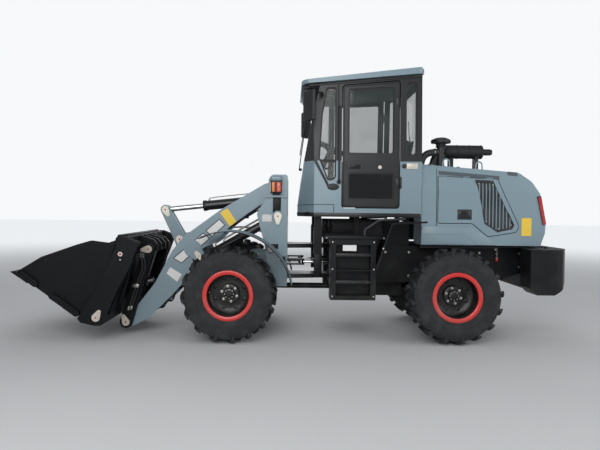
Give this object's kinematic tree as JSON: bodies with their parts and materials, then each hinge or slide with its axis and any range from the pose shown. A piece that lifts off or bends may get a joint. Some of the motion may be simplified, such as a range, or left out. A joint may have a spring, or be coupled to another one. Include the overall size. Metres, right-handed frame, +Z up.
{
  "type": "articulated wheel loader",
  "caption": "Compact articulated wheel loader with closed cab, lift arms, Z-bar linkage, quick hitch and four-in-one bucket.",
  "frame": {"origin": "on the ground, midway along the overall length, on the machine's centre plane", "axes": "+X towards the bucket, +Y to the operator's left, +Z up"},
  "size_m": [6.131, 2, 3.099],
  "materials": {
    "grey_paint": "satin blue-grey paint",
    "black_paint": "satin black paint",
    "glass": "clear glass",
    "tyre_rubber": "matt rubber",
    "rim_paint": "black with a red lip",
    "rod_chrome": "polished",
    "cylinder_paint": "satin",
    "pin_steel": "bare steel",
    "lamp_plastic": "lens",
    "seat_vinyl": "vinyl",
    "engine_iron": "cast",
    "dark_plastic": "moulded"
  },
  "bodies": {
    "rear_frame": {"rear_frame": "black_paint", "engine_block": "engine_iron", "transmission": "black_paint", "rear_axle": "black_paint", "counterweight": "black_paint", "hood": "grey_paint", "hood_rear": "grey_paint", "exhaust": "black_paint", "air_intake": "dark_plastic", "cab_base": "grey_paint", "cab_frame": "black_paint", "cab_roof": "grey_paint", "cab_glass": "glass", "seat": "seat_vinyl", "steering_column": "dark_plastic", "mirrors": "black_paint", "side_boxes": "black_paint", "handrails": "black_paint", "rear_fenders": "black_paint", "tail_lamps": "lamp_plastic", "hydraulic_tank": "black_paint"},
    "front_frame": {"front_frame": "grey_paint", "front_axle": "black_paint", "front_fenders": "grey_paint", "front_lamps": "lamp_plastic"},
    "lift_arm": {"lift_arm": "grey_paint", "bucket_pins": "pin_steel", "rocker_pin": "pin_steel"},
    "hitch": {"hitch": "black_paint", "bucket_back": "black_paint"},
    "rocker": {"rocker": "grey_paint", "link_pin": "pin_steel"},
    "tilt_link": {"tilt_link": "black_paint"},
    "tilt_barrel": {"tilt_barrel": "cylinder_paint"},
    "tilt_rod": {"tilt_rod": "rod_chrome"},
    "lift_barrels": {"lift_barrels": "cylinder_paint"},
    "lift_rods": {"lift_rods": "rod_chrome"},
    "clam": {"clam": "black_paint"},
    "clam_barrels": {"clam_barrels": "cylinder_paint"},
    "clam_rods": {"clam_rods": "rod_chrome"},
    "door_left": {"door_left": "black_paint", "door_glass_left": "glass"},
    "door_right": {"door_right": "black_paint", "door_glass_right": "glass"},
    "engine_cover_left": {"engine_cover_left": "grey_paint"},
    "engine_cover_right": {"engine_cover_right": "grey_paint"},
    "wheel_front_left": {"tyre_front_left": "tyre_rubber", "rim_front_left": "rim_paint"},
    "wheel_front_right": {"tyre_front_right": "tyre_rubber", "rim_front_right": "rim_paint"},
    "wheel_rear_left": {"tyre_rear_left": "tyre_rubber", "rim_rear_left": "rim_paint"},
    "wheel_rear_right": {"tyre_rear_right": "tyre_rubber", "rim_rear_right": "rim_paint"},
    "steer_barrel_left": {"steer_barrel_left": "cylinder_paint"},
    "steer_rod_left": {"steer_rod_left": "rod_chrome"},
    "steer_barrel_right": {"steer_barrel_right": "cylinder_paint"},
    "steer_rod_right": {"steer_rod_right": "rod_chrome"}
  },
  "joints": [
    {"name": "wheel_front_left_spin", "type": "hinge", "parent": "front_frame", "child": "wheel_front_left", "pos_m": [0.7465, 0.775, 0.53], "axis": [0, 1, 0], "continuous": true},
    {"name": "wheel_front_right_spin", "type": "hinge", "parent": "front_frame", "child": "wheel_front_right", "pos_m": [0.7465, -0.775, 0.53], "axis": [0, 1, 0], "continuous": true},
    {"name": "wheel_rear_left_spin", "type": "hinge", "parent": "rear_frame", "child": "wheel_rear_left", "pos_m": [-1.7535, 0.775, 0.53], "axis": [0, 1, 0], "continuous": true},
    {"name": "wheel_rear_right_spin", "type": "hinge", "parent": "rear_frame", "child": "wheel_rear_right", "pos_m": [-1.7535, -0.775, 0.53], "axis": [0, 1, 0], "continuous": true},
    {"name": "steer", "type": "hinge", "parent": "rear_frame", "child": "front_frame", "pos_m": [-0.5035, 0, 0.85], "axis": [0, 0, 1], "range_deg": [-30, 30]},
    {"name": "lift", "type": "hinge", "parent": "front_frame", "child": "lift_arm", "pos_m": [0.2215, 0, 1.725], "axis": [0, -1, 0], "range_deg": [-2, 80]},
    {"name": "tilt", "type": "hinge", "parent": "lift_arm", "child": "hitch", "pos_m": [1.9745, 0, 0.147], "axis": [0, -1, 0], "range_deg": [-125, 6]},
    {"name": "rocker_swing", "type": "hinge", "parent": "lift_arm", "child": "rocker", "pos_m": [1.4305, 0, 1.097], "axis": [0, -1, 0], "range_deg": [-2.22, 36.37]},
    {"name": "link_swing", "type": "hinge", "parent": "rocker", "child": "tilt_link", "pos_m": [1.2835, 0, 0.601], "axis": [0, -1, 0], "range_deg": [-51.54, 2.95]},
    {"name": "tilt_barrel_swing", "type": "hinge", "parent": "front_frame", "child": "tilt_barrel", "pos_m": [0.2315, 0, 1.61], "axis": [0, -1, 0], "range_deg": [-2.44, 78.1]},
    {"name": "tilt_rod_slide", "type": "slide", "parent": "tilt_barrel", "child": "tilt_rod", "axis": [0.9938, 0, -0.1112], "range_m": [-0.24635, 0.01373]},
    {"name": "lift_barrels_swing", "type": "hinge", "parent": "front_frame", "child": "lift_barrels", "pos_m": [0.2235, 0, 1.395], "axis": [0, -1, 0], "range_deg": [-2.48, 79.7]},
    {"name": "lift_rods_slide", "type": "slide", "parent": "lift_barrels", "child": "lift_rods", "axis": [0.8659, 0, -0.5001], "range_m": [-0.01275, 0.43205]},
    {"name": "clam_open", "type": "hinge", "parent": "hitch", "child": "clam", "pos_m": [1.8935, 0, 0.975], "axis": [0, -1, 0], "range_deg": [0, 50]},
    {"name": "clam_barrels_swing", "type": "hinge", "parent": "hitch", "child": "clam_barrels", "pos_m": [2.1515, 0, 0.29], "axis": [0, -1, 0], "range_deg": [-5.25, 0.5]},
    {"name": "clam_rods_slide", "type": "slide", "parent": "clam_barrels", "child": "clam_rods", "axis": [-0.4923, 0, 0.8704], "range_m": [-0.08403, 0.002]},
    {"name": "steer_barrel_left_swing", "type": "hinge", "parent": "rear_frame", "child": "steer_barrel_left", "pos_m": [-1.0535, 0.25, 0.85], "axis": [0, 0, 1], "range_deg": [-14.15, 14.15]},
    {"name": "steer_rod_left_slide", "type": "slide", "parent": "steer_barrel_left", "child": "steer_rod_left", "axis": [1, 0, 0], "range_m": [-0.13185, 0.13185]},
    {"name": "steer_barrel_right_swing", "type": "hinge", "parent": "rear_frame", "child": "steer_barrel_right", "pos_m": [-1.0535, -0.25, 0.85], "axis": [0, 0, 1], "range_deg": [-14.15, 14.15]},
    {"name": "steer_rod_right_slide", "type": "slide", "parent": "steer_barrel_right", "child": "steer_rod_right", "axis": [1, 0, 0], "range_m": [-0.13185, 0.13185]},
    {"name": "door_left_open", "type": "hinge", "parent": "rear_frame", "child": "door_left", "pos_m": [-1.1635, 0.652, 1.494], "axis": [0, 0, 1], "range_deg": [0, 110]},
    {"name": "door_right_open", "type": "hinge", "parent": "rear_frame", "child": "door_right", "pos_m": [-1.1635, -0.652, 1.494], "axis": [0, 0, -1], "range_deg": [0, 110]},
    {"name": "engine_cover_left_open", "type": "hinge", "parent": "rear_frame", "child": "engine_cover_left", "pos_m": [-1.6035, 0.581, 1.876], "axis": [0.9991, -0.0058, 0.0431], "range_deg": [0, 60]},
    {"name": "engine_cover_right_open", "type": "hinge", "parent": "rear_frame", "child": "engine_cover_right", "pos_m": [-1.6035, -0.581, 1.876], "axis": [-0.9991, -0.0058, -0.0431], "range_deg": [0, 60]}
  ],
  "couplings": [
    {"joint": "rocker_swing", "follows": "tilt", "ratio": -0.28695},
    {"joint": "link_swing", "follows": "tilt", "ratio": 0.40834},
    {"joint": "tilt_barrel_swing", "follows": "lift", "ratio": 0.97},
    {"joint": "tilt_rod_slide", "follows": "tilt", "m_per_rad": 0.112},
    {"joint": "lift_barrels_swing", "follows": "lift", "ratio": 0.99},
    {"joint": "lift_rods_slide", "follows": "lift", "m_per_rad": 0.308},
    {"joint": "clam_barrels_swing", "follows": "clam_open", "ratio": -0.095},
    {"joint": "clam_rods_slide", "follows": "clam_open", "m_per_rad": -0.094},
    {"joint": "steer_barrel_left_swing", "follows": "steer", "ratio": 0.455},
    {"joint": "steer_rod_left_slide", "follows": "steer", "m_per_rad": -0.248},
    {"joint": "steer_barrel_right_swing", "follows": "steer", "ratio": 0.455},
    {"joint": "steer_rod_right_slide", "follows": "steer", "m_per_rad": 0.248}
  ]
}
